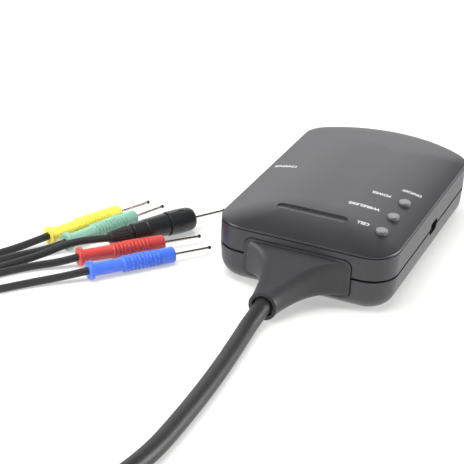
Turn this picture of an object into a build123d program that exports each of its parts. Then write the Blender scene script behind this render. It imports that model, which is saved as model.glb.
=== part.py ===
from build123d import *
from math import cos, degrees, pi, radians, sin, sqrt, tan
import os

# A pocket-size potentiostat: a two-shell moulded housing with its captive cell cable.
# Millimetres. X runs across the width, Y along the length with the cable at the
# front end (-Y), Z up. The origin is on the table under the middle of the housing.

# Housing, seen from above: flat front, arched rear
WIDTH = 54.0
LENGTH = 88.5
REAR_SAG = 10.7
FRONT_CORNER = 8.6
REAR_CORNER = 9.3
FRONT_Y = -LENGTH / 2

# Housing, seen from the side
WALL = 2.0
BOTTOM_EDGE = 5.8
PARTING_Z = 10.4
SEAM = 0.7
CREASE_Z = 18.4
EDGE_ROUND = 0.45
# Shadow groove in the wall, just under the crease
GROOVE_Z = 17.45
GROOVE_HIGH = 0.4
GROOVE_DEEP = 0.35
# The top rises from the crease to the crown along a power curve over the dome's reach
CROWN_Z = 21.1
DOME_REACH = 24.0
DOME_POWER = 2.6
DOME_RINGS = (0.0, 1.5, 3.5, 6.0, 9.0, 12.5, 16.5, 20.5)
DOME_CORNER_KEPT = 0.7
LOWER_DRAFT = 0.7

# Overlapping lip that lines up the shells
LIP_OUT = 1.1
LIP_Z = 12.0
LIP_PLAY = 0.1

# Shallow long recess in the top
RECESS_CENTRE = (-1.8, -30.3)
RECESS_LENGTH = 21.8
RECESS_WIDTH = 3.6
RECESS_DEPTH = 0.45
RECESS_SURFACE_Z = 20.82

# Indicator lenses: name and place along Y, all on one line
LENS_X = 19.7
LENS_Y = {"power_lens": -10.1, "link_lens": -20.7, "cell_lens": -31.1}
LENS_R = 1.75
LENS_TOP_Z = 20.55
LENS_CROWN = 0.35
LENS_STEM_R = 1.3
LENS_SEAT = 1.2
LENS_PLAY = 0.1

# Circuit board
BOARD_INSET = 3.2
BOARD_Z = 7.0
BOARD_THICK = 1.6
BOARD_TOP = BOARD_Z + BOARD_THICK
BOARD_FRONT_Y = -39.6

# Battery under the board, and the larger components on it
BATTERY_PAD = (30.0, 44.0, 0.5)
BATTERY = (32.0, 48.0, 4.2)
BATTERY_Y = -3.0
BATTERY_EDGE = 1.6
RADIO_MODULE = (11.5, 15.5, 2.2)
RADIO_Y = 29.0
PROCESSOR = (9.0, 9.0, 1.0)
PROCESSOR_AT = (-4.0, 10.0)
SHIELD = (21.0, 17.0, 3.2)
SHIELD_AT = (-1.0, -10.0)
SHIELD_CORNER = 1.0
LIGHT_CHIP = (1.6, 0.8, 0.6)

# Screws and the posts they pull together
SCREWS = ((-14.0, -35.0), (14.0, -35.0), (-19.5, 24.5), (19.5, 24.5))
SCREW_R = 1.25
SCREW_TOP_Z = 14.5
SCREW_HEAD_R = 2.3
SCREW_HEAD_Z = (0.8, 2.4)
SCREW_PLAY = 0.15
SCREW_CROSS = (2.4, 0.5, 1.6)
POST_R = 2.9

# Slide switch in the right side
SWITCH_Y = -1.6
SWITCH_Z = 10.45
SWITCH_SLOT = (7.4, 3.8)
SWITCH_BODY = (3.9, 9.0, 3.7)
SWITCH_BODY_X = 22.7
SWITCH_TRAVEL = 2.2
LEVER_SIZE = (4.6, 1.8, 1.7)
LEVER_ROOT = (1.0, 2.8, 2.3)
LEVER_REACH_X = 26.5
LEVER_EDGE = 0.35
LEVER_PLAY = 0.2

# Charging socket in the left side
SOCKET_Y = 0.0
SOCKET_SHELL = (7.0, 8.9, 3.2)
SOCKET_X = -22.0
SOCKET_WALL = 0.35
SOCKET_CUT = (9.6, 3.8)
SOCKET_BACK = 1.0
TONGUE = (4.5, 6.6, 0.7)

# Cable inside the housing, and the connector that its wires end in
CORE_FROM_Y = FRONT_Y + 4.0
CORE_TO_Y = -35.0
CORE_Z = 11.5
WIRE_R = 0.5
WIRE_BUNCH = 1.05
WIRE_PITCH = 2.2
WIRE_HEADER = (13.0, 4.4, 1.8)
WIRE_PLUG = (12.0, 4.4, 3.4)
WIRE_PLUG_Y = -25.0
WIRE_PLUG_Z = BOARD_TOP + WIRE_HEADER[2] + WIRE_PLUG[2] / 2

# Cable boot: flange in the front wall, and its sections from the flange to the nose
FLANGE_SIZE = (32.5, 12.0)
FLANGE_X = -0.4
FLANGE_Z = 9.65
FLANGE_CORNER = 2.4
FLANGE_PROUD = 0.35
FLANGE_GAP = 0.2
KEEPER_SIZE = (36.4, 8.0)
KEEPER_Z = 10.3
KEEPER_THICK = 1.9
KEEPER_PLAY = 0.15
# Each row: y, x, z, width, height, corner radius
BOOT_SECTIONS = (
    (FRONT_Y - FLANGE_PROUD, FLANGE_X, 9.65, 30.5, 10.3, 1.9),
    (-45.7, -0.5, 9.6, 25.8, 10.2, 2.3),
    (-47.6, -0.7, 9.1, 19.8, 10.0, 2.7),
    (-50.2, -1.2, 8.15, 14.9, 9.6, 3.1),
    (-53.4, -2.0, 6.95, 11.7, 9.1, 3.5),
    (-57.0, -2.9, 5.65, 9.6, 8.6, 3.9),
    (-60.6, -3.7, 4.35, 8.4, 8.4, 4.15),
)
NOSE_BORE_R = 3.2
NOSE_BORE_DEPTH = 1.6

# Main cable
CABLE_R = 2.5
# Centre line from the boot's nose to the coil; a table-top route has z = CABLE_R
MAIN_ROUTE = (
    (-3.5, -58.8, 4.75),
    (-4.2, -67.0, 2.9),
    (-3.0, -80.0, 2.5),
    (-1.5, -98.0, 2.5),
    (-0.9, -118.0, 2.5),
    (-1.1, -136.0, 2.5),
    (-6.0, -156.5, 2.5),
    (-18.0, -175.0, 2.5),
    (-35.0, -188.8, 2.8),
    (-51.0, -198.0, 3.1),
)

# Coil of the cable's unseen length
COIL_CENTRE = (-66.0, -172.0)
COIL_MEAN_R = 27.5
COIL_BUNDLE = 10.0
COIL_BASE_Z = 0.6
COIL_CORNER = 2.3
TIE_ANGLE = 25.0
TIE_WIDTH = 8.0
TIE_THICK = 0.6

# From the coil to the splitter
TAIL_ROUTE = (
    (-90.6, -189.2, 8.1),
    (-97.2, -179.5, 7.7),
    (-103.0, -169.5, 4.4),
    (-106.0, -160.0, 3.2),
)
SPLITTER_REAR = (-106.0, -160.0, 3.2)
SPLITTER_AXIS = (-0.12, 0.993, 0.0)
SPLITTER_LENGTH = 26.0
SPLITTER_REAR_SIZE = (6.4, 6.4, 3.1)
SPLITTER_MIDDLE_SIZE = (12.4, 5.6, 2.7)
SPLITTER_FRONT_SIZE = (17.2, 5.2, 2.2)
LEAD_PITCH = 3.3

# Leads and plugs
LEAD_R = 1.15
LEAD_START_Z = 2.6
# Plugs: rear centre and the point that the front centre faces
PLUGS = {
    "yellow": ((-78.6, -49.2, 2.8), (-68.2, -24.6, 2.45)),
    "green": ((-71.9, -50.3, 2.8), (-62.1, -24.5, 2.45)),
    "black": ((-60.2, -45.0, 4.7), (-44.5, -19.2, 4.0)),
    "red": ((-64.1, -56.8, 2.8), (-46.7, -36.0, 2.45)),
    "blue": ((-57.4, -62.7, 2.8), (-40.5, -41.3, 2.45)),
}
# Points that each lead passes between its plug and the splitter, in that order
LEAD_ROUTES = {
    "yellow": ((-83.0, -57.0, 1.7), (-88.0, -64.5, 1.15), (-97.0, -81.0, 1.15),
               (-106.5, -100.0, 1.15), (-114.0, -118.0, 1.5)),
    "green": ((-75.6, -55.6, 1.7), (-81.0, -60.5, 1.15), (-91.0, -77.5, 1.15),
              (-102.5, -97.0, 1.15), (-110.6, -117.0, 1.5)),
    "black": ((-65.0, -50.8, 5.6), (-69.8, -55.2, 4.6), (-74.6, -60.0, 2.4),
              (-82.5, -71.0, 1.15), (-95.5, -92.0, 1.15), (-106.4, -115.5, 1.5)),
    "red": ((-67.6, -60.3, 1.9), (-75.0, -65.6, 1.15), (-83.5, -77.5, 1.15),
            (-93.5, -94.5, 1.15), (-102.6, -114.5, 1.5)),
    "blue": ((-62.4, -67.3, 1.9), (-70.3, -74.6, 1.15), (-80.0, -87.0, 1.15),
             (-90.0, -101.0, 1.15), (-98.6, -115.0, 1.5)),
}
LEAD_ORDER = ("yellow", "green", "black", "red", "blue")

# Thin plug, from its rear end
PLUG_LENGTH = 27.3
PLUG_FLANGE = (2.8, 1.5)
PLUG_NECK_R = 1.95
PLUG_RIBS_FROM = 10.6
PLUG_RIBS = 10
PLUG_RIB_PITCH = 1.2
PLUG_RIB_R = 2.48
PLUG_GROOVE_R = 2.15
PLUG_FRONT_R = 2.43
PIN_R = 0.36
PIN_LENGTH = 12.6
PIN_TIP_R = 0.56
PIN_ROOT = 6.0


def outline(inset=0.0, corner_kept=0.0):
    """Plan of the housing, moved inwards by inset. corner_kept slows the corners' shrinking."""
    half = WIDTH / 2 - inset
    arc_r = (WIDTH**2 / 4 + REAR_SAG**2) / (2 * REAR_SAG)
    arc_y = LENGTH / 2 - arc_r
    front = FRONT_Y + inset
    shoulder = arc_y + sqrt((arc_r - inset) ** 2 - half**2)
    sides = Polyline((-half, shoulder), (-half, front), (half, front), (half, shoulder))
    rear = ThreePointArc((half, shoulder), (0, LENGTH / 2 - inset), (-half, shoulder))
    plan = make_face(Curve() + [sides, rear])
    low_to_high = plan.vertices().sort_by(Axis.Y)
    shrink = inset * (1 - corner_kept)
    plan = fillet(low_to_high[:2], FRONT_CORNER - shrink)
    high = [v for v in plan.vertices() if abs(v.Y - shoulder) < 0.01]
    return fillet(high, REAR_CORNER - shrink)


def block(size, centre):
    """A plain box about its centre."""
    return Pos(*centre) * Box(*size)


def upright_slot(width, height, depth, place):
    """A flat-ended prism with round ends, its flat profile standing in the YZ plane."""
    return Plane(origin=place, x_dir=(0, 1, 0), z_dir=(1, 0, 0)) * extrude(
        RectangleRounded(width, height, height / 2 - 0.01), depth / 2, both=True)


def dome(inset, drop):
    """The rising top, as a smooth skin through rings that shrink towards the crown."""
    rings = []
    for ring in DOME_RINGS:
        height = CROWN_Z - (CROWN_Z - CREASE_Z) * (1 - ring / DOME_REACH) ** DOME_POWER
        rings.append(Pos(0, 0, height - drop) * outline(inset + ring, DOME_CORNER_KEPT))
    return loft(rings)


def cavity(bottom, top):
    """The housing's hollow between two heights."""
    return Pos(0, 0, bottom) * extrude(outline(WALL), top - bottom)


def front_opening(gap, y_from, y_to):
    """A prism through the front wall that the boot's flange fills."""
    profile = RectangleRounded(FLANGE_SIZE[0] + 2 * gap, FLANGE_SIZE[1] + 2 * gap, FLANGE_CORNER + gap)
    plane = Plane(origin=(FLANGE_X, y_from, FLANGE_Z), x_dir=(-1, 0, 0), z_dir=(0, 1, 0))
    return plane * extrude(profile, y_to - y_from)


def side_cuts():
    """Openings for the switch and the charging socket, shared by both shells."""
    switch = upright_slot(*SWITCH_SLOT, 8.0, (WIDTH / 2, SWITCH_Y, SWITCH_Z))
    socket = upright_slot(*SOCKET_CUT, 8.0, (-WIDTH / 2, SOCKET_Y, BOARD_TOP + SOCKET_SHELL[2] / 2))
    return switch + socket


def lower_shell():
    low = loft([outline(LOWER_DRAFT, DOME_CORNER_KEPT), Pos(0, 0, PARTING_Z - SEAM / 2) * outline()])
    low = fillet(low.edges().group_by(Axis.Z)[0], BOTTOM_EDGE)
    hollow = Pos(0, 0, WALL) * extrude(outline(WALL), PARTING_Z)
    hollow = fillet(hollow.edges().group_by(Axis.Z)[0], BOTTOM_EDGE - WALL)
    lip = Pos(0, 0, PARTING_Z - 1.0) * extrude(outline(LIP_OUT) - outline(WALL), LIP_Z - PARTING_Z + 1.0)
    shell = low - hollow + lip
    for x, y in SCREWS:
        shell += Pos(x, y, 1.0) * extrude(Circle(POST_R), BOARD_Z - 1.0)
        shell -= Pos(x, y, 0) * extrude(Circle(SCREW_R + SCREW_PLAY), BOARD_Z + 1)
        shell -= extrude(Pos(x, y) * Circle(SCREW_HEAD_R + SCREW_PLAY), SCREW_HEAD_Z[1])
    shell -= front_opening(FLANGE_GAP, FRONT_Y - 3, FRONT_Y + 5.2)
    shell -= keeper_room()
    return shell - side_cuts()


def keeper_room():
    """Space for the boot's inner keeper, a little larger than it."""
    y = FRONT_Y + WALL + KEEPER_THICK / 2
    size = (KEEPER_SIZE[0] + 2 * KEEPER_PLAY, KEEPER_THICK + KEEPER_PLAY, KEEPER_SIZE[1] + 2 * KEEPER_PLAY)
    return block(size, (0, y, KEEPER_Z))


def top_recess():
    """A hollow with round ends and a round floor, as a bar lying across the top would leave."""
    radius = (RECESS_WIDTH**2 / 4 + RECESS_DEPTH**2) / (2 * RECESS_DEPTH)
    axis = Pos(*RECESS_CENTRE, RECESS_SURFACE_Z - RECESS_DEPTH + radius)
    bar = axis * Rot(0, 90, 0) * Cylinder(radius, RECESS_LENGTH)
    ends = Pos(*RECESS_CENTRE, RECESS_SURFACE_Z - 1) * extrude(
        RectangleRounded(RECESS_LENGTH, RECESS_WIDTH, RECESS_WIDTH / 2 - 0.01), 2)
    return bar & ends


def upper_shell():
    base = PARTING_Z + SEAM / 2
    wall = Pos(0, 0, base) * extrude(outline(), CREASE_Z - base)
    shell = wall + dome(0, 0)
    crease = [e for e in shell.edges() if abs(e.center().Z - CREASE_Z) < 0.05]
    shell = fillet(crease, EDGE_ROUND)
    shell -= cavity(base - 1, CREASE_Z - WALL)
    shell -= dome(WALL, WALL)
    shell -= Pos(0, 0, base - 1) * extrude(outline(LIP_OUT - LIP_PLAY), LIP_Z - base + 1)
    for x, y in SCREWS:
        post = Pos(x, y, BOARD_TOP) * extrude(Circle(POST_R), CREASE_Z - BOARD_TOP)
        shell += post - Pos(x, y, BOARD_TOP) * extrude(Circle(SCREW_R), SCREW_TOP_Z - BOARD_TOP + 1)
    shell -= front_opening(FLANGE_GAP, FRONT_Y - 3, FRONT_Y + 3)
    shell -= keeper_room()
    shell -= side_cuts()
    shell -= Pos(0, 0, GROOVE_Z) * extrude(outline(-1) - outline(GROOVE_DEEP), GROOVE_HIGH)
    shell -= top_recess()
    for y in LENS_Y.values():
        shell -= Pos(LENS_X, y, PARTING_Z) * extrude(Circle(LENS_STEM_R + LENS_PLAY), 12)
        shell -= Pos(LENS_X, y, LENS_TOP_Z - LENS_SEAT) * extrude(Circle(LENS_R + LENS_PLAY), 4)
    return shell


def lens(y):
    """A light pipe: a stem down to the light and a low dome on top."""
    low = BOARD_TOP + 1.1
    seat = LENS_TOP_Z - LENS_SEAT
    stem = Pos(0, 0, low) * extrude(Circle(LENS_STEM_R), seat - low)
    head = Pos(0, 0, seat) * extrude(Circle(LENS_R), LENS_SEAT + LENS_CROWN)
    head = fillet(head.edges().sort_by(Axis.Z)[-1], LENS_CROWN - 0.01)
    return Pos(LENS_X, y, 0) * (stem + head)


def cable_boot():
    flange = front_opening(0, FRONT_Y - FLANGE_PROUD, FRONT_Y + WALL + 0.2)
    keeper_y = FRONT_Y + WALL + 0.1 + KEEPER_THICK / 2
    keeper = block((KEEPER_SIZE[0], KEEPER_THICK, KEEPER_SIZE[1]), (0, keeper_y, KEEPER_Z))
    sections = []
    for y, x, z, wide, high, corner in BOOT_SECTIONS:
        plane = Plane(origin=(x, y, z), x_dir=(1, 0, 0), z_dir=(0, -1, 0))
        sections.append(plane * RectangleRounded(wide, high, corner))
    boot = flange + keeper + loft(sections)
    end = Vector(BOOT_SECTIONS[-1][1], BOOT_SECTIONS[-1][0], BOOT_SECTIONS[-1][2])
    bore = Plane(origin=end + Vector(0, -1, 0), x_dir=(1, 0, 0), z_dir=(0, 1, 0))
    return boot - bore * extrude(Circle(NOSE_BORE_R), NOSE_BORE_DEPTH + 1)


def circuit_board():
    board = Pos(0, 0, BOARD_Z) * extrude(outline(BOARD_INSET), BOARD_THICK)
    board -= block((WIDTH, 20, 4), (0, BOARD_FRONT_Y - 10, BOARD_Z + 1))
    for x, y in SCREWS:
        board -= Pos(x, y, BOARD_Z) * extrude(Circle(SCREW_R + 0.3), BOARD_THICK)
    return board


def battery():
    cell = block(BATTERY, (0, BATTERY_Y, WALL + BATTERY_PAD[2] + BATTERY[2] / 2))
    return fillet(cell.edges().filter_by(Axis.Y), BATTERY_EDGE)


def on_board(size, x, y):
    """A component that stands on the board."""
    return block(size, (x, y, BOARD_TOP + size[2] / 2))


def switch_body():
    body = on_board(SWITCH_BODY, SWITCH_BODY_X, SWITCH_Y)
    window = (LEVER_ROOT[0] + 3 * LEVER_PLAY, LEVER_ROOT[1] + SWITCH_TRAVEL + 4 * LEVER_PLAY,
              LEVER_ROOT[2] + 2 * LEVER_PLAY)
    room = block(window, (LEVER_REACH_X - LEVER_SIZE[0], SWITCH_Y, SWITCH_Z))
    slot = (SWITCH_BODY[0], LEVER_SIZE[1] + SWITCH_TRAVEL + 4 * LEVER_PLAY, LEVER_SIZE[2] + 2 * LEVER_PLAY)
    return body - room - block(slot, (LEVER_REACH_X - LEVER_SIZE[0] + slot[0] / 2, SWITCH_Y, SWITCH_Z))


def switch_lever():
    """Shown in its off position, at the end of the travel nearer the cable."""
    y = SWITCH_Y - SWITCH_TRAVEL / 2
    stem = block(LEVER_SIZE, (LEVER_REACH_X - LEVER_SIZE[0] / 2, y, SWITCH_Z))
    tip = stem.faces().sort_by(Axis.X)[-1]
    stem = fillet(tip.edges(), LEVER_EDGE)
    return stem + block(LEVER_ROOT, (LEVER_REACH_X - LEVER_SIZE[0], y, SWITCH_Z))


def charge_socket():
    long, wide, high = SOCKET_SHELL
    z = BOARD_TOP + high / 2
    outer = upright_slot(wide, high, long, (SOCKET_X, SOCKET_Y, z))
    inner = (wide - 2 * SOCKET_WALL, high - 2 * SOCKET_WALL)
    bore = upright_slot(*inner, long, (SOCKET_X - SOCKET_BACK, SOCKET_Y, z))
    return outer - bore


def charge_tongue():
    z = BOARD_TOP + SOCKET_SHELL[2] / 2
    x = SOCKET_X + SOCKET_SHELL[0] / 2 - SOCKET_BACK - TONGUE[0] / 2
    return block(TONGUE, (x, SOCKET_Y, z))


def status_lights():
    return Compound([on_board(LIGHT_CHIP, LENS_X, y) for y in LENS_Y.values()])


def rod(start, end, radius):
    """A straight round bar between two points."""
    a = Vector(*start)
    along = Vector(*end) - a
    return Plane(origin=a, z_dir=along) * extrude(Circle(radius), along.length)


def cable_core():
    """The cable's jacket, from the boot's keeper to where its wires part."""
    return rod((0, CORE_FROM_Y, CORE_Z), (0, CORE_TO_Y, CORE_Z), CABLE_R)


def inner_wires():
    """One wire for each lead, fanned out from the jacket to the connector."""
    wires = []
    for place in range(-2, 3):
        near = (place * WIRE_BUNCH, CORE_TO_Y, CORE_Z)
        far = (place * WIRE_PITCH, WIRE_PLUG_Y - WIRE_PLUG[1] / 2, WIRE_PLUG_Z)
        wires.append(rod(near, far, WIRE_R).solid())
    return Compound(wires)


def housing_screws():
    screws = []
    for x, y in SCREWS:
        low, high = SCREW_HEAD_Z
        head = Pos(x, y, low) * extrude(Circle(SCREW_HEAD_R), high - low)
        shank = Pos(x, y, low) * extrude(Circle(SCREW_R), SCREW_TOP_Z - low)
        cross = block(SCREW_CROSS, (x, y, low)) + Pos(x, y, low) * Rot(0, 0, 90) * Box(*SCREW_CROSS)
        screws.append(head + shank - cross)
    return Compound([s.solid() for s in screws])


def tube(points, radius, name):
    """A round tube along straight runs joined by tangent arcs, each as large as its runs allow."""
    at = [Vector(*p) for p in points]
    radii = []
    for before, here, after in zip(at, at[1:], at[2:]):
        first = here - before
        second = after - here
        turn = radians(first.get_angle(second))
        radii.append(0.45 * min(first.length, second.length) / tan(turn / 2))
    path = FilletPolyline(*at, radius=radii)
    start = Plane(origin=path @ 0, z_dir=path % 0)
    solid = sweep(start * Circle(radius), path=path)
    runs = [(b - a).length for a, b in zip(at, at[1:])]
    share = solid.volume / (pi * radius**2 * path.length)
    print(f"{name}: length {path.length:.1f} mm, tightest radius {min(radii):.1f}, "
          f"runs {min(runs):.1f} to {max(runs):.1f}, volume share {share:.4f}")
    return solid


def coil_ring():
    bundle = RectangleRounded(COIL_BUNDLE, COIL_BUNDLE, COIL_CORNER)
    profile = Pos(COIL_MEAN_R, COIL_BASE_Z + COIL_BUNDLE / 2) * bundle
    return Pos(*COIL_CENTRE, 0) * revolve(Plane.XZ * profile, Axis.Z)


def cable_tie():
    """A soft band round the coil's bundle."""
    across = COIL_BUNDLE + 2 * TIE_THICK
    outer = RectangleRounded(across, across, COIL_CORNER + TIE_THICK)
    inner = RectangleRounded(COIL_BUNDLE, COIL_BUNDLE, COIL_CORNER)
    plane = Plane(origin=(COIL_MEAN_R, 0, COIL_BASE_Z + COIL_BUNDLE / 2), x_dir=(1, 0, 0), z_dir=(0, 1, 0))
    arc = degrees(TIE_WIDTH / COIL_MEAN_R)
    band = revolve(plane * (outer - inner), Axis.Z, arc)
    return Pos(*COIL_CENTRE, 0) * Rot(0, 0, TIE_ANGLE) * band


def lead_splitter():
    axis = Vector(*SPLITTER_AXIS).normalized()
    across = Vector(axis.Y, -axis.X, 0)
    rear = Plane(origin=SPLITTER_REAR, x_dir=across, z_dir=axis)
    front = Vector(*SPLITTER_REAR) + axis * SPLITTER_LENGTH
    front.Z = SPLITTER_FRONT_SIZE[1] / 2
    face = Plane(origin=front, x_dir=across, z_dir=axis)
    middle = Vector(*SPLITTER_REAR) * 0.5 + front * 0.5
    half = Plane(origin=middle, x_dir=across, z_dir=axis)
    return loft([rear * RectangleRounded(*SPLITTER_REAR_SIZE), half * RectangleRounded(*SPLITTER_MIDDLE_SIZE),
                 face * RectangleRounded(*SPLITTER_FRONT_SIZE)])


def lead(colour):
    """One thin lead, from its plug's rear face to its place in the splitter's front face."""
    rear = Vector(*PLUGS[colour][0])
    axis = Vector(*SPLITTER_AXIS).normalized()
    across = Vector(axis.Y, -axis.X, 0)
    place = LEAD_ORDER.index(colour) - 2
    end = Vector(*SPLITTER_REAR) + axis * SPLITTER_LENGTH + across * (place * LEAD_PITCH)
    end.Z = LEAD_START_Z
    return tube([tuple(rear), *LEAD_ROUTES[colour], tuple(end)], LEAD_R, f"{colour}_lead")


def on_plug(solid, colour, along=0.0):
    """Puts a piece that was turned about Z onto a plug's axis."""
    rear, front = (Vector(*p) for p in PLUGS[colour])
    axis = (front - rear).normalized()
    return Plane(origin=rear + axis * along, x_dir=Vector(0, 0, 1).cross(axis), z_dir=axis) * solid


def turned(points):
    """A solid turned about Z from its half profile of radius and height."""
    return revolve(Plane.XZ * make_face(Polyline(*points, close=True)), Axis.Z)


def thin_sleeve():
    flange_r, flange_long = PLUG_FLANGE
    points = [(0, 0), (flange_r - 0.4, 0), (flange_r, 0.4), (flange_r, flange_long - 0.3),
              (flange_r - 0.3, flange_long), (PLUG_NECK_R, flange_long), (PLUG_NECK_R, PLUG_RIBS_FROM - 0.3)]
    for rib in range(PLUG_RIBS):
        s = PLUG_RIBS_FROM + rib * PLUG_RIB_PITCH
        points += [(PLUG_RIB_R, s), (PLUG_RIB_R, s + PLUG_RIB_PITCH * 0.6),
                   (PLUG_GROOVE_R, s + PLUG_RIB_PITCH * 0.7), (PLUG_GROOVE_R, s + PLUG_RIB_PITCH * 0.95)]
    s = PLUG_RIBS_FROM + PLUG_RIBS * PLUG_RIB_PITCH
    points += [(PLUG_FRONT_R, s), (PLUG_FRONT_R, PLUG_LENGTH - 0.35), (PLUG_FRONT_R - 0.35, PLUG_LENGTH),
               (PIN_R, PLUG_LENGTH), (PIN_R, PLUG_LENGTH - PIN_ROOT), (0, PLUG_LENGTH - PIN_ROOT)]
    return turned(points)


# The large plug's sections, from its rear end: half profiles of radius and height
BLACK_LENGTH = 29.8
BLACK_CAP = ((0, 0), (1.5, 0), (1.75, 0.3), (2.5, 6.8), (2.3, 7.0), (2.0, 7.0), (2.0, 8.1), (0, 8.1))
BLACK_BODY = ((0, 8.1), (2.6, 8.1), (2.75, 8.3), (2.95, 12.2), (2.85, 12.3), (2.85, 12.6), (3.1, 12.8),
              (3.5, 19.8), (3.35, 20.0), (3.2, 20.0), (3.2, 20.5), (0, 20.5))
BLACK_BARREL = ((0, 20.5), (3.6, 20.5), (3.75, 20.8), (3.85, 25.0), (3.65, 28.4), (3.35, 29.3), (2.8, 29.8),
                (PIN_R, 29.8), (PIN_R, 29.8 - PIN_ROOT), (0, 29.8 - PIN_ROOT))


def plug_length(colour):
    return BLACK_LENGTH if colour == "black" else PLUG_LENGTH


def contact_pin(colour):
    pin = Pos(0, 0, -PIN_ROOT) * extrude(Circle(PIN_R), PIN_ROOT + PIN_LENGTH - PIN_TIP_R)
    return on_plug(pin, colour, plug_length(colour))


def pin_tip(colour):
    """A ball on the pin's end, bored to its centre for the pin."""
    ball = Sphere(PIN_TIP_R) - Pos(0, 0, -2 * PIN_TIP_R) * extrude(Circle(PIN_R), 2 * PIN_TIP_R)
    return on_plug(ball, colour, plug_length(colour) + PIN_LENGTH - PIN_TIP_R)


PARTS = {
    "upper_shell": upper_shell(),
    "lower_shell": lower_shell(),
    "cable_boot": cable_boot(),
    "circuit_board": circuit_board(),
    "battery_pad": block(BATTERY_PAD, (0, BATTERY_Y, WALL + BATTERY_PAD[2] / 2)),
    "battery": battery(),
    "switch_body": switch_body(),
    "switch_lever": switch_lever(),
    "charge_socket": charge_socket(),
    "charge_tongue": charge_tongue(),
    "status_lights": status_lights(),
    "radio_module": on_board(RADIO_MODULE, 0, RADIO_Y),
    "processor_chip": on_board(PROCESSOR, *PROCESSOR_AT),
    "analog_shield": fillet(on_board(SHIELD, *SHIELD_AT).edges().filter_by(Axis.Z), SHIELD_CORNER),
    "wire_header": on_board(WIRE_HEADER, 0, WIRE_PLUG_Y),
    "wire_plug": block(WIRE_PLUG, (0, WIRE_PLUG_Y, WIRE_PLUG_Z)),
    "cable_core": cable_core(),
    "inner_wires": inner_wires(),
    "housing_screws": housing_screws(),
    "main_cable": tube(MAIN_ROUTE, CABLE_R, "main_cable"),
    "main_cable_coil": coil_ring(),
    "cable_tie": cable_tie(),
    "main_cable_tail": tube(TAIL_ROUTE, CABLE_R, "main_cable_tail"),
    "lead_splitter": lead_splitter(),
    "black_cap": on_plug(turned(BLACK_CAP), "black"),
    "black_body": on_plug(turned(BLACK_BODY), "black"),
    "black_barrel": on_plug(turned(BLACK_BARREL), "black"),
    "pin_tips": Compound([pin_tip(c).solid() for c in LEAD_ORDER]),
}
for name, y in LENS_Y.items():
    PARTS[name] = lens(y)
for colour in LEAD_ORDER:
    PARTS[f"{colour}_lead"] = lead(colour)
    PARTS[f"{colour}_pin"] = contact_pin(colour)
    if colour != "black":
        PARTS[f"{colour}_sleeve"] = on_plug(thin_sleeve(), colour)

os.makedirs("parts", exist_ok=True)
for name, shape in PARTS.items():
    export_step(shape, f"parts/{name}.step")
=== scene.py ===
# %% [markdown]
# # A pocket potentiostat with its cell cable
# The instrument is a dark moulded box with a low dome, three light pipes and a soft boot
# for its cable. The cable divides into five thin leads that end in coloured pin plugs.
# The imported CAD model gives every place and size. This lesson adds what CAD leaves plain:
# flexible cables, ribbed plugs, printed words, and materials with grain and gloss.

# %% Load the CAD model as a fixed frame
import math
import bmesh
import bpy
import numpy as np
from mathutils import Matrix, Vector


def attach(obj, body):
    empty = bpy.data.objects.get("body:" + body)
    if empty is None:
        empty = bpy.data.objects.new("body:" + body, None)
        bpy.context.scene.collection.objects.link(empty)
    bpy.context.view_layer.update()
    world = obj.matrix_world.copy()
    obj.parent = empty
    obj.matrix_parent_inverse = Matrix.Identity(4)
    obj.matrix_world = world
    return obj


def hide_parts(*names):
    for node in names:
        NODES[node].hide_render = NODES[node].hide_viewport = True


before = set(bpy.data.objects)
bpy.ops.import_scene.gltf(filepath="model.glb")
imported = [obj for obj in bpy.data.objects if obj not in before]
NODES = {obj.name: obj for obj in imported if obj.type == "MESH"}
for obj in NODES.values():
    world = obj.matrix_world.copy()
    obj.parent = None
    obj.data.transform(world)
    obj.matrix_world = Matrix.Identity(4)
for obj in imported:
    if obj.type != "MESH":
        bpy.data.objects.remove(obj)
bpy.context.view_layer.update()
BODY = "instrument"
MM = 0.001

# %% [markdown]
# ## Camera
# The photograph looks down at the front right corner from about 27 degrees above the
# table. A long lens keeps the box's sides almost parallel. The camera is turned a little
# about its own view line, because the picture was not taken level.

# %% Camera
LENS_MM = 113.134
VIEW_AZIMUTH = math.radians(22.768)
VIEW_ELEVATION = math.radians(26.914)
VIEW_ROLL = math.radians(2.69)
VIEW_TARGET = Vector((-26.861, -29.564, 8.0)) * MM
VIEW_DISTANCE = 435.467 * MM


def photo_camera():
    """Backs off from the target along azimuth and elevation, then rolls about the view line."""
    level = math.cos(VIEW_ELEVATION)
    back = Vector((math.sin(VIEW_AZIMUTH) * level, -math.cos(VIEW_AZIMUTH) * level, math.sin(VIEW_ELEVATION)))
    right = Vector((0, 0, 1)).cross(back).normalized()
    up = back.cross(right)
    turned_right = right * math.cos(VIEW_ROLL) + up * math.sin(VIEW_ROLL)
    turned_up = up * math.cos(VIEW_ROLL) - right * math.sin(VIEW_ROLL)
    data = bpy.data.cameras.new("photo_camera")
    data.lens = LENS_MM
    data.sensor_width = 36.0
    data.clip_start = 0.01
    data.clip_end = 20.0
    camera = bpy.data.objects.new("photo_camera", data)
    bpy.context.collection.objects.link(camera)
    axes = Matrix((turned_right, turned_up, back)).transposed().to_4x4()
    camera.matrix_world = Matrix.Translation(VIEW_TARGET + back * VIEW_DISTANCE) @ axes
    bpy.context.scene.camera = camera
    return camera


camera = photo_camera()
print("camera at", [round(v, 4) for v in camera.matrix_world.translation])

# %% [markdown]
# ## A small kit for materials
# Colours are written as screen (sRGB) hex values, and Blender works in linear light, so
# one function converts them. A second adds one node with its settings and links. Every
# material below starts from its real substance and is built from these two.

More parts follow.
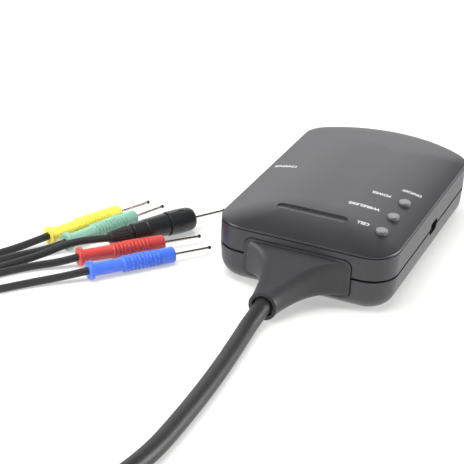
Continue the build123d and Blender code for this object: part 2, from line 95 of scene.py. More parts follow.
# %% Colour and node helpers
def linear(hex_colour, alpha=1.0):
    """sRGB hex to linear: c/12.92 below 0.04045, else ((c + 0.055)/1.055) to the power 2.4."""
    code = hex_colour.lstrip("#")
    c = np.array([int(code[i:i + 2], 16) / 255 for i in (0, 2, 4)])
    out = np.where(c <= 0.04045, c / 12.92, ((c + 0.055) / 1.055) ** 2.4)
    return (*out.tolist(), alpha)


def add(tree, kind, links=None, **settings):
    """Adds a node. settings are its attributes, and links maps inputs to sockets or plain values."""
    made = tree.nodes.new(kind)
    for key, value in settings.items():
        setattr(made, key, value)
    for key, value in (links or {}).items():
        if isinstance(value, bpy.types.NodeSocket):
            tree.links.new(value, made.inputs[key])
        else:
            made.inputs[key].default_value = value
    return made


def material(name, **uniform):
    """A Principled material with plain values on its own sockets. Returns material, tree, shader."""
    made = bpy.data.materials.new(name)
    made.use_nodes = True
    tree = made.node_tree
    shader = tree.nodes["Principled BSDF"]
    for key, value in uniform.items():
        shader.inputs[key.replace("_", " ")].default_value = value
    return made, tree, shader


# A Mix node's colour inputs and colour result by number, because their names repeat
MIX_A, MIX_B, MIX_RESULT = 6, 7, 2


def per_mm(size_mm):
    """Scale of a texture on coordinates in metres, for a feature of that size in millimetres."""
    return 1.0 / (size_mm * MM)


print("linear mid grey:", [round(v, 3) for v in linear("#808080")[:3]])

# %% [markdown]
# ## Moulded housing: dark ABS with spark-eroded grain
# The mould of such a box is etched, which leaves a grain of about 0.25 mm on the plastic.
# It spreads the reflection of the studio into a soft sheen that is bright towards the far
# end and fades towards the cable. Larger, faint waves come from the cooling of the wall.

# %% Housing material
GRAIN_MM = 0.28
GRAIN_HIGH_MM = 0.03
WAVE_MM = 16.0
GLOSS_SPREAD = 0.05


def moulded_abs(name, low, high, roughness, bump):
    """Two noises: a fine grain for bump and roughness, and a slow one that mixes two close colours."""
    made, tree, shader = material(name, IOR=1.53, Specular_IOR_Level=0.85)
    where = add(tree, "ShaderNodeTexCoord").outputs["Object"]
    grain = add(tree, "ShaderNodeTexNoise", {"Vector": where, "Scale": per_mm(GRAIN_MM), "Detail": 3.0,
                                             "Roughness": 0.6}).outputs["Fac"]
    waves = add(tree, "ShaderNodeTexNoise", {"Vector": where, "Scale": per_mm(WAVE_MM),
                                             "Detail": 2.0}).outputs["Fac"]
    share = add(tree, "ShaderNodeMapRange", {"Value": waves, "From Min": 0.3,
                                             "From Max": 0.7}).outputs["Result"]
    colour = add(tree, "ShaderNodeMix", {0: share, MIX_A: linear(low), MIX_B: linear(high)}, data_type="RGBA")
    tree.links.new(colour.outputs[MIX_RESULT], shader.inputs["Base Color"])
    rough = add(tree, "ShaderNodeMapRange", {"Value": grain, "From Min": 0.25, "From Max": 0.75,
                                             "To Min": roughness - GLOSS_SPREAD,
                                             "To Max": roughness + GLOSS_SPREAD})
    tree.links.new(rough.outputs["Result"], shader.inputs["Roughness"])
    lifted = add(tree, "ShaderNodeBump", {"Height": grain, "Strength": bump, "Distance": GRAIN_HIGH_MM * MM})
    tree.links.new(lifted.outputs["Normal"], shader.inputs["Normal"])
    return made


housing_abs = moulded_abs("moulded_abs_grained", "#222226", "#26262a", 0.38, 0.22)
print(housing_abs.name, "nodes:", len(housing_abs.node_tree.nodes))

# %% [markdown]
# ## Boot, splitter and jackets: soft elastomers
# The boot is a thermoplastic elastomer, a little duller than the box. The cable's jacket
# is an extruded PVC: it is drawn through a die, so its marks are long and fine and its
# gloss is a clear streak along the cable. The thin leads are silicone, which is duller.

# %% Elastomer materials
SPECK_HIGH_MM = 0.03
HANDLING_MM = 6.0
HANDLING_SPREAD = 0.06


def soft_rubber(name, colour, roughness, speck_mm):
    """A base colour, a fine speck for the bump, and a slow noise that varies the roughness."""
    made, tree, shader = material(name, IOR=1.5, Base_Color=linear(colour))
    where = add(tree, "ShaderNodeTexCoord").outputs["Object"]
    speck = add(tree, "ShaderNodeTexNoise", {"Vector": where, "Scale": per_mm(speck_mm),
                                             "Detail": 2.0}).outputs["Fac"]
    slow = add(tree, "ShaderNodeTexNoise", {"Vector": where, "Scale": per_mm(HANDLING_MM)}).outputs["Fac"]
    rough = add(tree, "ShaderNodeMapRange", {"Value": slow, "To Min": roughness - HANDLING_SPREAD,
                                             "To Max": roughness + HANDLING_SPREAD})
    tree.links.new(rough.outputs["Result"], shader.inputs["Roughness"])
    lifted = add(tree, "ShaderNodeBump", {"Height": speck, "Strength": 0.18, "Distance": SPECK_HIGH_MM * MM})
    tree.links.new(lifted.outputs["Normal"], shader.inputs["Normal"])
    return made


boot_tpe = soft_rubber("elastomer_moulded_satin", "#353537", 0.44, 0.35)
jacket_pvc = soft_rubber("pvc_extruded_jacket", "#29292a", 0.45, 0.5)
lead_silicone = soft_rubber("silicone_extruded_lead", "#2f2f30", 0.5, 0.4)
print("elastomers:", boot_tpe.name, jacket_pvc.name, lead_silicone.name)

# %% [markdown]
# ## Plugs: polished polyamide in five colours
# Each plug is injection moulded in a plain polished mould, so it is smooth and glossy, and
# a little light enters the colour. The black one is made of darker, harder pieces with
# their own gloss. Pins are nickel plated. Each pin's rounded end is coloured near-black as a
# painted reflection of the dark surroundings in the curved metal tip.

# %% Plug materials
WEAR_MM = 2.5
WEAR_SPREAD = 0.07
DEPTH_OF_GLOW_MM = 0.4


def polished_nylon(name, colour, roughness=0.3, glow=0.0):
    """A clean colour with a slow, small change of roughness, as handling gives."""
    made, tree, shader = material(name, IOR=1.53, Base_Color=linear(colour), Subsurface_Weight=glow,
                                  Subsurface_Scale=DEPTH_OF_GLOW_MM * MM)
    shader.inputs["Subsurface Radius"].default_value = (1.0, 0.6, 0.5)
    where = add(tree, "ShaderNodeTexCoord").outputs["Object"]
    slow = add(tree, "ShaderNodeTexNoise", {"Vector": where, "Scale": per_mm(WEAR_MM),
                                            "Detail": 3.0}).outputs["Fac"]
    rough = add(tree, "ShaderNodeMapRange", {"Value": slow, "To Min": roughness - WEAR_SPREAD,
                                             "To Max": roughness + WEAR_SPREAD})
    tree.links.new(rough.outputs["Result"], shader.inputs["Roughness"])
    return made


SLEEVE_FINISH = {
    "yellow": polished_nylon("nylon_yellow", "#f8e458", 0.34, 0.1),
    "green": polished_nylon("nylon_green", "#88b9a4", 0.34, 0.1),
    "red": polished_nylon("nylon_red", "#cc4a42", 0.34, 0.1),
    "blue": polished_nylon("nylon_blue", "#4c78ee", 0.34, 0.1),
}
black_nylon = polished_nylon("nylon_black", "#2a2b2c", 0.34)
cap_nylon = polished_nylon("nylon_black_worn", "#2c2b2a", 0.5)
nickel = material("nickel_plated_pin", Metallic=1.0, Roughness=0.25, Base_Color=linear("#b9b2a4"))[0]
# The pin_tips pieces are near-black: a painted reflection of dark surroundings in each pin's rounded metal
# end.
pin_end_painted_dark = material("pin_end_painted_reflection", Roughness=0.35, Base_Color=linear("#151515"))[0]
print("plug colours:", list(SLEEVE_FINISH))

# %% [markdown]
# ## Light pipes and the pieces inside
# A light pipe is clear plastic with a frosted top, so it looks grey when its light is off.
# The pieces inside the box are seldom seen, but each has its own substance: laminate with
# green solder mask, tinned shields, black moulded chips and an aluminium laminate battery.

# %% Lens and inner materials
lens_frosted = material("frosted_light_pipe", Roughness=0.38, IOR=1.49, Base_Color=linear("#77777b"),
                        Transmission_Weight=0.1)[0]
DARKEST_SHARE = 0.82


def plain(name, colour, roughness, metallic=0.0, speck_mm=1.5):
    """A colour that a fine noise darkens by a few percent, so no face is one flat tone."""
    made, tree, shader = material(name, Roughness=roughness, Metallic=metallic)
    where = add(tree, "ShaderNodeTexCoord").outputs["Object"]
    speck = add(tree, "ShaderNodeTexNoise", {"Vector": where, "Scale": per_mm(speck_mm),
                                             "Detail": 2.0}).outputs["Fac"]
    share = add(tree, "ShaderNodeMapRange", {"Value": speck, "From Min": 0.3,
                                             "From Max": 0.7}).outputs["Result"]
    light = linear(colour)
    dark = tuple(DARKEST_SHARE * c for c in light[:3]) + (1.0,)
    mixed = add(tree, "ShaderNodeMix", {0: share, MIX_A: dark, MIX_B: light}, data_type="RGBA")
    tree.links.new(mixed.outputs[MIX_RESULT], shader.inputs["Base Color"])
    return made


board_laminate = plain("laminate_green_mask", "#1d5a36", 0.35)
foam = plain("foam_pad", "#2b2b2b", 0.9)
foil = plain("aluminium_laminate", "#b9bcc0", 0.35, 1.0)
tinned = plain("tinned_sheet", "#b4b4b0", 0.35, 1.0)
nylon_switch = plain("nylon_switch", "#0e0e0f", 0.45)
chip_epoxy = plain("epoxy_chip", "#1e1e20", 0.5)
led_epoxy = plain("epoxy_light", "#f2efdc", 0.3)
natural_nylon = plain("nylon_natural", "#e8e4d8", 0.4)
wire_pvc = plain("wire_insulation", "#8a8a8a", 0.45)
zinc_steel = plain("steel_zinc_plated", "#9a9a98", 0.35, 1.0)
tie_fabric = plain("woven_band", "#1c1c1e", 0.85, speck_mm=0.4)
print("materials so far:", len(bpy.data.materials))

# %% [markdown]
# ## Dress the CAD pieces whose shape is already right
# A CAD piece keeps its mesh, and only its material slot changes.

# %% Assign materials to CAD nodes
def dress(finish, *names):
    """Puts one material into every slot of the named CAD nodes."""
    for name in names:
        piece = NODES[name]
        if not piece.material_slots:
            piece.data.materials.append(finish)
        for place in piece.material_slots:
            place.material = finish


dress(housing_abs, "upper_shell", "lower_shell")
dress(boot_tpe, "cable_boot", "lead_splitter")
dress(board_laminate, "circuit_board")
dress(foam, "battery_pad")
dress(foil, "battery")
dress(tinned, "switch_body", "charge_socket", "radio_module", "analog_shield")
dress(nylon_switch, "switch_lever", "charge_tongue")
dress(led_epoxy, "status_lights")
dress(chip_epoxy, "processor_chip")
dress(natural_nylon, "wire_header", "wire_plug")
dress(jacket_pvc, "cable_core", "main_cable", "main_cable_coil", "main_cable_tail")
dress(wire_pvc, "inner_wires")
dress(zinc_steel, "housing_screws")
dress(tie_fabric, "cable_tie")
dress(lens_frosted, "power_lens", "link_lens", "cell_lens")
dress(cap_nylon, "black_cap")
dress(black_nylon, "black_body", "black_barrel")
# Pin ends get the near-black painted reflection.
dress(pin_end_painted_dark, "pin_tips")
for colour in ("yellow", "green", "black", "red", "blue"):
    dress(nickel, f"{colour}_pin")
    dress(lead_silicone, f"{colour}_lead")
    if colour in SLEEVE_FINISH:
        dress(SLEEVE_FINISH[colour], f"{colour}_sleeve")
print("dressed CAD nodes:", len(NODES))

# %% [markdown]
# ## The main cable
# The cable is 5 mm thick, and about three quarters of a metre long. It leaves the boot,
# lies down on the table and runs out of the picture, where the rest is kept as a small
# round coil, as such cables are stored. One smooth spline with a round bevel is the
# simplest true model of a cable: its control points are the route, and the spline bends
# between them as a cable does. Points are in millimetres here and become metres once.

# %% Route of the main cable
CABLE_R = 2.5
CABLE_ROUTE = [(-3.5, -58.8, 4.75), (-4.2, -67.0, 2.9), (-3.0, -80.0, 2.5), (-1.5, -98.0, 2.5),
               (-0.9, -118.0, 2.5), (-1.1, -136.0, 2.5), (-6.0, -156.5, 2.5), (-18.0, -175.0, 2.5),
               (-35.0, -188.8, 2.8)]
COIL_CENTRE = (-66.0, -172.0)
COIL_TURNS = 3.236
COIL_START = math.radians(-60)
COIL_POINTS_A_TURN = 16
TAIL_ROUTE = [(-97.2, -179.5, 7.7), (-103.0, -169.5, 4.4), (-106.0, -160.0, 3.2)]


def eased(t, start, end):
    """0 before start, 1 after end, and a smooth 3t^2 - 2t^3 step between."""
    u = np.clip((t - start) / (end - start), 0, 1)
    return u * u * (3 - 2 * u)


def coil_points():
    """Clockwise turns: radius 30 then 25 on the table, then a second layer at 25 that ends at 30."""
    count = int(round(COIL_TURNS * COIL_POINTS_A_TURN)) + 1
    t = np.linspace(0, COIL_TURNS, count)
    radius = 30 - 5 * eased(t, 0.8, 1.0) + 5 * eased(t, 2.55, 2.8)
    height = 3.1 + 5 * eased(t, 1.75, 2.0)
    angle = COIL_START - 2 * np.pi * t
    reach = radius / (0.75 + 0.25 * math.cos(2 * math.pi / COIL_POINTS_A_TURN))
    x = COIL_CENTRE[0] + reach * np.cos(angle)
    y = COIL_CENTRE[1] + reach * np.sin(angle)
    return np.column_stack([x, y, height])


def cable_curve(name, points_mm, radius_mm, finish):
    """A NURBS spline through control points in millimetres, with a round bevel."""
    points = np.asarray(points_mm, float) * MM
    data = bpy.data.curves.new(name, "CURVE")
    data.dimensions = "3D"
    data.bevel_depth = radius_mm * MM
    data.bevel_resolution = 8
    data.resolution_u = 8
    data.use_fill_caps = True
    spline = data.splines.new("NURBS")
    spline.points.add(len(points) - 1)
    spline.points.foreach_set("co", np.column_stack([points, np.ones(len(points))]).ravel())
    spline.order_u = 3
    spline.use_endpoint_u = True
    data.materials.append(finish)
    made = bpy.data.objects.new(name, data)
    bpy.context.collection.objects.link(made)
    return made


def line_length(curve):
    """Length of a curve's own line in metres: the same curve with no bevel, as a mesh, edge by edge."""
    bare = curve.copy()
    bare.data = curve.data.copy()
    bare.data.bevel_depth = 0
    line = bpy.data.meshes.new_from_object(bare)
    flat = np.empty(len(line.vertices) * 3)
    line.vertices.foreach_get("co", flat)
    path = flat.reshape(-1, 3)
    bpy.data.objects.remove(bare)
    return float(np.linalg.norm(np.diff(path, axis=0), axis=1).sum())


main_points = np.vstack([CABLE_ROUTE, coil_points(), TAIL_ROUTE])
main_cable = cable_curve("main_cable_line", main_points, CABLE_R, jacket_pvc)
MAIN_LENGTH = line_length(main_cable)
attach(main_cable, BODY)
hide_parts("main_cable", "main_cable_coil", "main_cable_tail")
print("main cable:", round(MAIN_LENGTH, 3), "m")

# %% [markdown]
# ## Ribbed plugs turned from a profile
# A thin plug is a body of revolution: a collar at the rear, a neck, ten grip ribs and a
# plain nose. A profile of radius against height, turned about the plug's axis as a grid,
# gives soft rib edges that catch the light. The CAD sleeve has the same sizes.

# %% Surface helpers
def grid_object(name, grid, finish, wrap=True):
    """A mesh from a grid of points (rows, columns, 3). Columns close on themselves if wrap is set."""
    rows, columns = grid.shape[:2]
    index = np.arange(rows * columns).reshape(rows, columns)
    if wrap:
        index = np.column_stack([index, index[:, 0]])
    quads = np.stack([index[:-1, :-1], index[:-1, 1:], index[1:, 1:], index[1:, :-1]], axis=-1).reshape(-1, 4)
    mesh = bpy.data.meshes.new(name)
    mesh.from_pydata(grid.reshape(-1, 3).tolist(), [], quads.tolist())
    shape = bmesh.new()
    shape.from_mesh(mesh)
    bmesh.ops.remove_doubles(shape, verts=shape.verts, dist=1e-7)
    bmesh.ops.recalc_face_normals(shape, faces=shape.faces)
    shape.to_mesh(mesh)
    shape.free()
    mesh.shade_smooth()
    mesh.materials.append(finish)
    made = bpy.data.objects.new(name, mesh)
    bpy.context.collection.objects.link(made)
    return made


def turned_grid(radius, height, segments=64):
    """x = r cos a, y = r sin a, z = h for every profile row and every angle a."""
    angle = np.linspace(0, 2 * np.pi, segments, endpoint=False)
    x = radius[:, None] * np.cos(angle)
    y = radius[:, None] * np.sin(angle)
    z = np.broadcast_to(height[:, None], x.shape)
    return np.stack([x, y, z], axis=-1)


def on_plug(grid_mm, colour):
    """Carries points from about the Z axis to the plug's own axis, in metres."""
    rear, front = (np.array(p) for p in PLUGS[colour])
    axis = (front - rear) / np.linalg.norm(front - rear)
    side = np.cross((0, 0, 1), axis)
    side = side / np.linalg.norm(side)
    over = np.cross(axis, side)
    turn = np.stack([side, over, axis])
    return (grid_mm @ turn + rear) * MM


# %% Thin plugs
# Each plug's rear centre, and a point near its front that its axis runs through
PLUGS = {
    "yellow": ((-78.6, -49.2, 2.8), (-68.2, -24.6, 2.45)),
    "green": ((-71.9, -50.3, 2.8), (-62.1, -24.5, 2.45)),
    "black": ((-60.2, -45.0, 4.7), (-44.5, -19.2, 4.0)),
    "red": ((-64.1, -56.8, 2.8), (-46.7, -36.0, 2.45)),
    "blue": ((-57.4, -62.7, 2.8), (-40.5, -41.3, 2.45)),
}
SLEEVES = {}
SLEEVE_ROWS, SLEEVE_COLUMNS = 330, 72
PLUG_LENGTH = 27.3
COLLAR_R, COLLAR_LONG = 2.8, 1.5
COLLAR_ROUND = 0.45
NECK_R, NECK_GROWS = 1.95, 0.1
RIBS_FROM, RIB_COUNT, RIB_PITCH = 10.6, 10, 1.2
RIB_R, GROOVE_R = 2.48, 2.15
# Where in its pitch a rib's middle lies, and how steep its sides are
RIB_PHASE, RIB_STEEP = 0.35, 0.9
NOSE_R, NOSE_ROUND = 2.43, 0.5
PIN_BORE_R = 0.36
PAD_AT, PAD_HALF_LONG, PAD_HALF_WIDE = 17.2, 2.9, 1.75
# The pad ends where the ellipse's sum passes PAD_LIMIT, over a soft border
PAD_LIMIT, PAD_BORDER = 1.12, 0.24
PAD_R = 2.5


def sleeve_profile():
    """Radius along the plug. Each rib is a raised cosine with a flat top, between quarter-round ends."""
    s = np.linspace(0, PLUG_LENGTH, SLEEVE_ROWS)
    phase = (s - RIBS_FROM) / RIB_PITCH - RIB_PHASE
    wave = np.clip(0.5 + RIB_STEEP * np.cos(2 * np.pi * phase), 0, 1)
    ribs = GROOVE_R + (RIB_R - GROOVE_R) * wave
    radius = np.where(s < RIBS_FROM, NECK_R + NECK_GROWS * s / RIBS_FROM, ribs)
    radius = np.where(s > RIBS_FROM + RIB_COUNT * RIB_PITCH, NOSE_R, radius)
    across = (s - COLLAR_LONG / 2) / (COLLAR_LONG / 2)
    collar = COLLAR_R - COLLAR_ROUND * (1 - np.sqrt(np.clip(1 - across**4, 0, 1)))
    radius = np.where(s < COLLAR_LONG, np.maximum(collar, NECK_R), radius)
    to_nose = np.clip((PLUG_LENGTH - s) / NOSE_ROUND, 0, 1)
    radius = radius - NOSE_ROUND * (1 - np.sqrt(1 - (1 - to_nose) ** 2))
    ends = np.concatenate([[0.0], radius, [PIN_BORE_R / 2, 0.0]])
    return ends, np.concatenate([[0.0], s, [PLUG_LENGTH, PLUG_LENGTH]])


def with_pad(grid, turn):
    """Inside an ellipse on the upper side, the ribs are filled out to a smooth low pad."""
    x, y, z = grid[..., 0], grid[..., 1], grid[..., 2]
    radius = np.hypot(x, y)
    around = (np.arctan2(y, x) - turn + np.pi) % (2 * np.pi) - np.pi
    inside = (around * RIB_R / PAD_HALF_WIDE) ** 2 + ((z - PAD_AT) / PAD_HALF_LONG) ** 2
    share = np.clip((PAD_LIMIT - inside) / PAD_BORDER, 0, 1)
    wanted = radius + (PAD_R - radius) * share
    grow = np.where(radius > 1.0, wanted / np.maximum(radius, 1e-6), 1.0)
    return np.stack([x * grow, y * grow, z], axis=-1)


# Angle of each pad about its plug, in radians
PAD_TURN = {"yellow": 1.2, "green": 1.2, "red": 1.0, "blue": 0.75}
for colour, finish in SLEEVE_FINISH.items():
    grid = with_pad(turned_grid(*sleeve_profile(), SLEEVE_COLUMNS), PAD_TURN[colour])
    sleeve = grid_object(f"{colour}_ribbed_sleeve", on_plug(grid, colour), finish)
    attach(sleeve, BODY)
    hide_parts(f"{colour}_sleeve")
    SLEEVES[colour] = sleeve
print("sleeves:", {c: len(o.data.polygons) for c, o in SLEEVES.items()})

# %% [markdown]
# ## The large black plug
# The last lead ends in a larger, screwed-together plug: a ridged end cap, a smooth body and
# a barrel with two key slots in its top. Each is again a turned profile. Ridges are a wave
# of the radius around the axis, and a slot is a small box-shaped dip in the radius.

# %% Large plug
# Profiles are corners of (height, radius) in millimetres, from the rear
CAP = [(0.0, 0.0), (0.0, 1.15), (0.05, 1.5), (0.35, 1.75), (6.7, 2.5), (6.95, 2.42), (7.0, 2.0),
       (8.1, 2.0), (8.1, 0.0)]
BODY_PROFILE = [(8.1, 0.0), (8.1, 2.55), (8.25, 2.72), (12.15, 2.95), (12.3, 2.85), (12.6, 2.85), (12.8, 3.1),
                (19.8, 3.5), (20.0, 3.36), (20.02, 3.2), (20.5, 3.2), (20.5, 0.0)]
BARREL = [(20.5, 0.0), (20.5, 3.6), (20.7, 3.76), (25.0, 3.85), (28.0, 3.7), (29.0, 3.45), (29.55, 3.1),
          (29.8, 2.6), (29.8, 0.3), (29.8, 0.0)]
PROFILE_STEP = 0.12
RIDGES_FROM, RIDGES_TO = 0.5, 6.6
RIDGE_COUNT, RIDGE_DEPTH, RIDGE_FADE = 18, 0.16, 0.5
SLOT_TURNS = (1.15, 1.75)
SLOT_FROM, SLOT_TO = 24.2, 26.4
SLOT_HALF_WIDE, SLOT_DEPTH = 0.5, 0.3


def dense(profile):
    """The same profile with added rows, so that no row is much longer than PROFILE_STEP."""
    corners = np.array(profile)
    gaps = np.hypot(*np.diff(corners, axis=0).T)
    at = np.concatenate([[0.0], np.cumsum(gaps)])
    even = np.union1d(at, np.linspace(0, at[-1], int(at[-1] / PROFILE_STEP)))
    return np.interp(even, at, corners[:, 1]), np.interp(even, at, corners[:, 0])


def ridged(grid):
    """Radius loses RIDGE_DEPTH times a raised cosine of RIDGE_COUNT waves a turn, between two heights."""
    x, y, z = grid[..., 0], grid[..., 1], grid[..., 2]
    radius = np.hypot(x, y)
    angle = np.arctan2(y, x)
    fade = np.clip((z - RIDGES_FROM) / RIDGE_FADE, 0, 1) * np.clip((RIDGES_TO - z) / RIDGE_FADE, 0, 1)
    wave = 0.5 - 0.5 * np.cos(RIDGE_COUNT * angle)
    grow = 1 - fade * (radius > 1.3) * RIDGE_DEPTH * wave / np.maximum(radius, 0.5)
    return np.stack([x * grow, y * grow, z], axis=-1)


def key_slots(grid):
    """The radius dips by SLOT_DEPTH inside a rectangle at each of SLOT_TURNS."""
    x, y, z = grid[..., 0], grid[..., 1], grid[..., 2]
    radius = np.hypot(x, y)
    grow = np.ones_like(radius)
    for turn in SLOT_TURNS:
        around = ((np.arctan2(y, x) - turn + np.pi) % (2 * np.pi) - np.pi) * radius
        inside = (np.abs(around) < SLOT_HALF_WIDE) & (z > SLOT_FROM) & (z < SLOT_TO) & (radius > 2.0)
        grow = np.where(inside, 1 - SLOT_DEPTH / np.maximum(radius, 0.5), grow)
    return np.stack([x * grow, y * grow, z], axis=-1)


cap_grid = ridged(turned_grid(*dense(CAP), 144))
body_grid = turned_grid(*dense(BODY_PROFILE), 96)
barrel_grid = key_slots(turned_grid(*dense(BARREL), 160))
BLACK_PIECES = []
for name, grid, finish in (("black_cap", cap_grid, cap_nylon), ("black_body", body_grid, black_nylon),
                           ("black_barrel", barrel_grid, black_nylon)):
    piece = grid_object(name + "_turned", on_plug(grid, "black"), finish)
    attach(piece, BODY)
    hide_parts(name)
    BLACK_PIECES.append(piece)
print("large plug:", [o.name for o in BLACK_PIECES])

# %% [markdown]
# ## The five leads
# The splitter sends out five thin leads side by side. Each one runs to its own plug, and
# its route is again the control points of one smooth spline. The black lead is lifted in
# front of its plug, because it lies over its neighbour there.

# %% Routes of the leads
LEAD_R = 1.15
SPLITTER_FRONT = Vector((-106.0, -160.0, 0)) + Vector((-0.12, 0.993, 0)).normalized() * 26.0
SPLITTER_ACROSS = Vector((0.993, 0.12, 0)).normalized()
LEAD_PITCH = 3.3
LEAD_START_Z = 2.6
LEAD_ROUTES = {
    "yellow": [(-83.0, -57.0, 1.7), (-88.0, -64.5, 1.15), (-97.0, -81.0, 1.15), (-106.5, -100.0, 1.15),
               (-114.0, -118.0, 1.5)],
    "green": [(-75.6, -55.6, 1.7), (-81.0, -60.5, 1.15), (-91.0, -77.5, 1.15), (-102.5, -97.0, 1.15),
              (-110.6, -117.0, 1.5)],
    "black": [(-65.0, -50.8, 5.6), (-69.8, -55.2, 4.6), (-74.6, -60.0, 2.4), (-82.5, -71.0, 1.15),
              (-95.5, -92.0, 1.15), (-106.4, -115.5, 1.5)],
    "red": [(-67.6, -60.3, 1.9), (-75.0, -65.6, 1.15), (-83.5, -77.5, 1.15), (-93.5, -94.5, 1.15),
            (-102.6, -114.5, 1.5)],
    "blue": [(-62.4, -67.3, 1.9), (-70.3, -74.6, 1.15), (-80.0, -87.0, 1.15), (-90.0, -101.0, 1.15),
             (-98.6, -115.0, 1.5)],
}
ON_PLUG = {c: [sleeve, NODES[f"{c}_pin"]] for c, sleeve in SLEEVES.items()}
ON_PLUG["black"] = [*BLACK_PIECES, NODES["black_pin"]]
for place, colour in enumerate(PLUGS):
    start = SPLITTER_FRONT + SPLITTER_ACROSS * ((place - 2) * LEAD_PITCH)
    start.z = LEAD_START_Z
    route = [tuple(start), *reversed(LEAD_ROUTES[colour]), PLUGS[colour][0]]
    line = cable_curve(f"{colour}_lead_line", route, LEAD_R, lead_silicone)
    line_length(line)
    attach(line, BODY)
    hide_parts(f"{colour}_lead")

# %% [markdown]
# ## Printed words
# Small white words name the switch, the lights and the charging socket. They are pad
# printed, so they lie on the curved top with no thickness to speak of. Blender's own font
# is made a mesh, sized to the word's real width, and dropped onto the dome.

# %% Words on the dome
ink_white = material("pad_print_white", Roughness=0.5, Base_Color=linear("#c6c6ca"))[0]
CAP_HEIGHT = 1.6
INK_LIFT = 0.03
STROKE_GROWS = 0.035
DROP_FROM_Z = 30.0
# The word, its two ends in x and its middle in y
WORDS = (("ON/OFF", 16.4, 22.5, -2.1), ("POWER", 9.0, 14.9, -8.85), ("WIRELESS", 5.4, 15.1, -19.2),
         ("CELL", 11.6, 15.4, -29.6), ("CHARGE", -25.0, -17.8, -1.9))


def printed_word(text, x_from, x_to, y_middle):
    """The word's flat mesh is stretched to its width, turned to read from the rear, and projected down."""
    data = bpy.data.curves.new(text, "FONT")
    data.body = text
    data.resolution_u = 4
    data.offset = STROKE_GROWS
    flat = bpy.data.objects.new(text, data)
    mesh = bpy.data.meshes.new_from_object(flat)
    bpy.data.objects.remove(flat)
    co = np.empty(len(mesh.vertices) * 3)
    mesh.vertices.foreach_get("co", co)
    co = co.reshape(-1, 3)
    low, high = co.min(axis=0), co.max(axis=0)
    unit = (co - low) / np.maximum(high - low, 1e-9)
    x = x_to - unit[:, 0] * (x_to - x_from)
    y = y_middle + CAP_HEIGHT / 2 - unit[:, 1] * CAP_HEIGHT
    placed = np.column_stack([x, y, np.full(len(x), DROP_FROM_Z)]) * MM
    mesh.vertices.foreach_set("co", placed.ravel())
    mesh.materials.append(ink_white)
    word = bpy.data.objects.new("word_" + text.lower().replace("/", "_"), mesh)
    bpy.context.collection.objects.link(word)
    drop = word.modifiers.new("drop", "SHRINKWRAP")
    drop.target = NODES["upper_shell"]
    drop.wrap_method = "PROJECT"
    drop.use_project_z = True
    drop.use_negative_direction = True
    drop.use_positive_direction = False
    drop.offset = INK_LIFT * MM
    dropped = bpy.data.meshes.new_from_object(word.evaluated_get(bpy.context.evaluated_depsgraph_get()))
    word.modifiers.clear()
    word.data = dropped
    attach(word, BODY)
    return word


for text, x_from, x_to, y_middle in WORDS:
    word = printed_word(text, x_from, x_to, y_middle)
    print(word.name, "faces:", len(word.data.polygons))

# %% [markdown]
# ## Studio: white table, soft lamps
# The photograph is a product picture on a white sheet. Reflections see the sheet as plain
# white, and the camera sees it about half that way, so it keeps its contact shadows. Four
# soft lamps light the object. The one behind gives the dome its sheen, the one on the right
# lights the right wall, and the one on the left lights the boot. The overhead lamp only
# whitens the sheet, so it is left out of reflections.

# %% Floor and world
WHITE = linear("#fefefe")
FLOOR_HALF = 3.0
SHEET_GLOW = 0.45


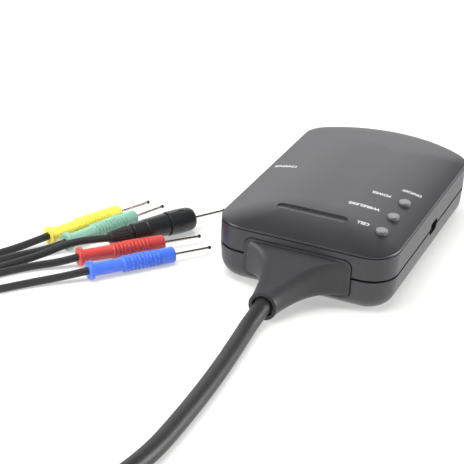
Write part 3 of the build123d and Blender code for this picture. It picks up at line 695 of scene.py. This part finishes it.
def white_floor():
    """A square sheet. Glossy and transmission rays see plain white, camera rays SHEET_GLOW of it."""
    corners = [(-FLOOR_HALF, -FLOOR_HALF, 0), (FLOOR_HALF, -FLOOR_HALF, 0),
               (FLOOR_HALF, FLOOR_HALF, 0), (-FLOOR_HALF, FLOOR_HALF, 0)]
    mesh = bpy.data.meshes.new("studio_sheet")
    mesh.from_pydata(corners, [], [(0, 1, 2, 3)])
    sheet = bpy.data.objects.new("studio_sheet", mesh)
    bpy.context.collection.objects.link(sheet)
    made, tree, shader = material("white_sheet")
    tree.nodes.remove(shader)
    paper = add(tree, "ShaderNodeBsdfDiffuse", {"Color": linear("#f4f3f0")})
    glow = add(tree, "ShaderNodeEmission", {"Color": WHITE, "Strength": 1.0})
    path = add(tree, "ShaderNodeLightPath")
    mirrored = add(tree, "ShaderNodeMath", {0: path.outputs["Is Glossy Ray"],
                                            1: path.outputs["Is Transmission Ray"]}, operation="MAXIMUM")
    direct = add(tree, "ShaderNodeMath", {0: path.outputs["Is Camera Ray"], 1: SHEET_GLOW},
                 operation="MULTIPLY")
    share = add(tree, "ShaderNodeMath", {0: mirrored.outputs[0], 1: direct.outputs[0]}, operation="MAXIMUM")
    both = add(tree, "ShaderNodeMixShader", {0: share.outputs[0], 1: paper.outputs[0], 2: glow.outputs[0]})
    tree.links.new(both.outputs[0], tree.nodes["Material Output"].inputs["Surface"])
    mesh.materials.append(made)
    return sheet


sheet = white_floor()

# Strength of the world at the horizon, and above AIR_FADES in the direction's z
AIR_LOW, AIR_HIGH = 1.0, 0.1
AIR_FADES = 0.3
world = bpy.data.worlds.new("studio_air")
bpy.context.scene.world = world
world.use_nodes = True
air = world.node_tree
seen_by = add(air, "ShaderNodeLightPath")
direction = add(air, "ShaderNodeSeparateXYZ", {0: add(air, "ShaderNodeTexCoord").outputs["Generated"]})
fade = add(air, "ShaderNodeMapRange", {"Value": direction.outputs["Z"], "From Min": 0.0,
                                       "From Max": AIR_FADES, "To Min": AIR_LOW, "To Max": AIR_HIGH})
strength = add(air, "ShaderNodeMix", {0: seen_by.outputs["Is Camera Ray"], 2: fade.outputs["Result"], 3: 1.0})
air.nodes["Background"].inputs["Color"].default_value = WHITE
air.links.new(strength.outputs[0], air.nodes["Background"].inputs["Strength"])
print("stage:", sheet.name)

# %% Lamps
def soft_lamp(name, place, aim, width, height, power, mirrored=True):
    """A rectangular lamp at place (metres) that faces aim, in watts. Gloss shows it if mirrored is set."""
    data = bpy.data.lights.new(name, "AREA")
    data.shape = "RECTANGLE"
    data.size = width
    data.size_y = height
    data.energy = power
    lamp = bpy.data.objects.new(name, data)
    bpy.context.collection.objects.link(lamp)
    lamp.visible_glossy = mirrored
    direction = Vector(aim) - Vector(place)
    turn = direction.to_track_quat("-Z", "Y").to_matrix().to_4x4()
    lamp.matrix_world = Matrix.Translation(Vector(place)) @ turn
    return lamp


soft_lamp("back_softbox", (-0.5, 0.92, 0.46), (0, 0, 0), 1.1, 0.4, 2.6)
soft_lamp("right_softbox", (0.95, 0.45, 0.3), (0, 0, 0), 0.8, 0.5, 12.0)
soft_lamp("left_softbox", (-0.9, -0.75, 0.45), (0, 0, 0), 0.6, 0.6, 10.0)
soft_lamp("overhead", (-0.2, -0.1, 1.2), (0, 0, 0), 1.0, 1.0, 22.0, mirrored=False)
bpy.context.scene.view_settings.view_transform = "Standard"
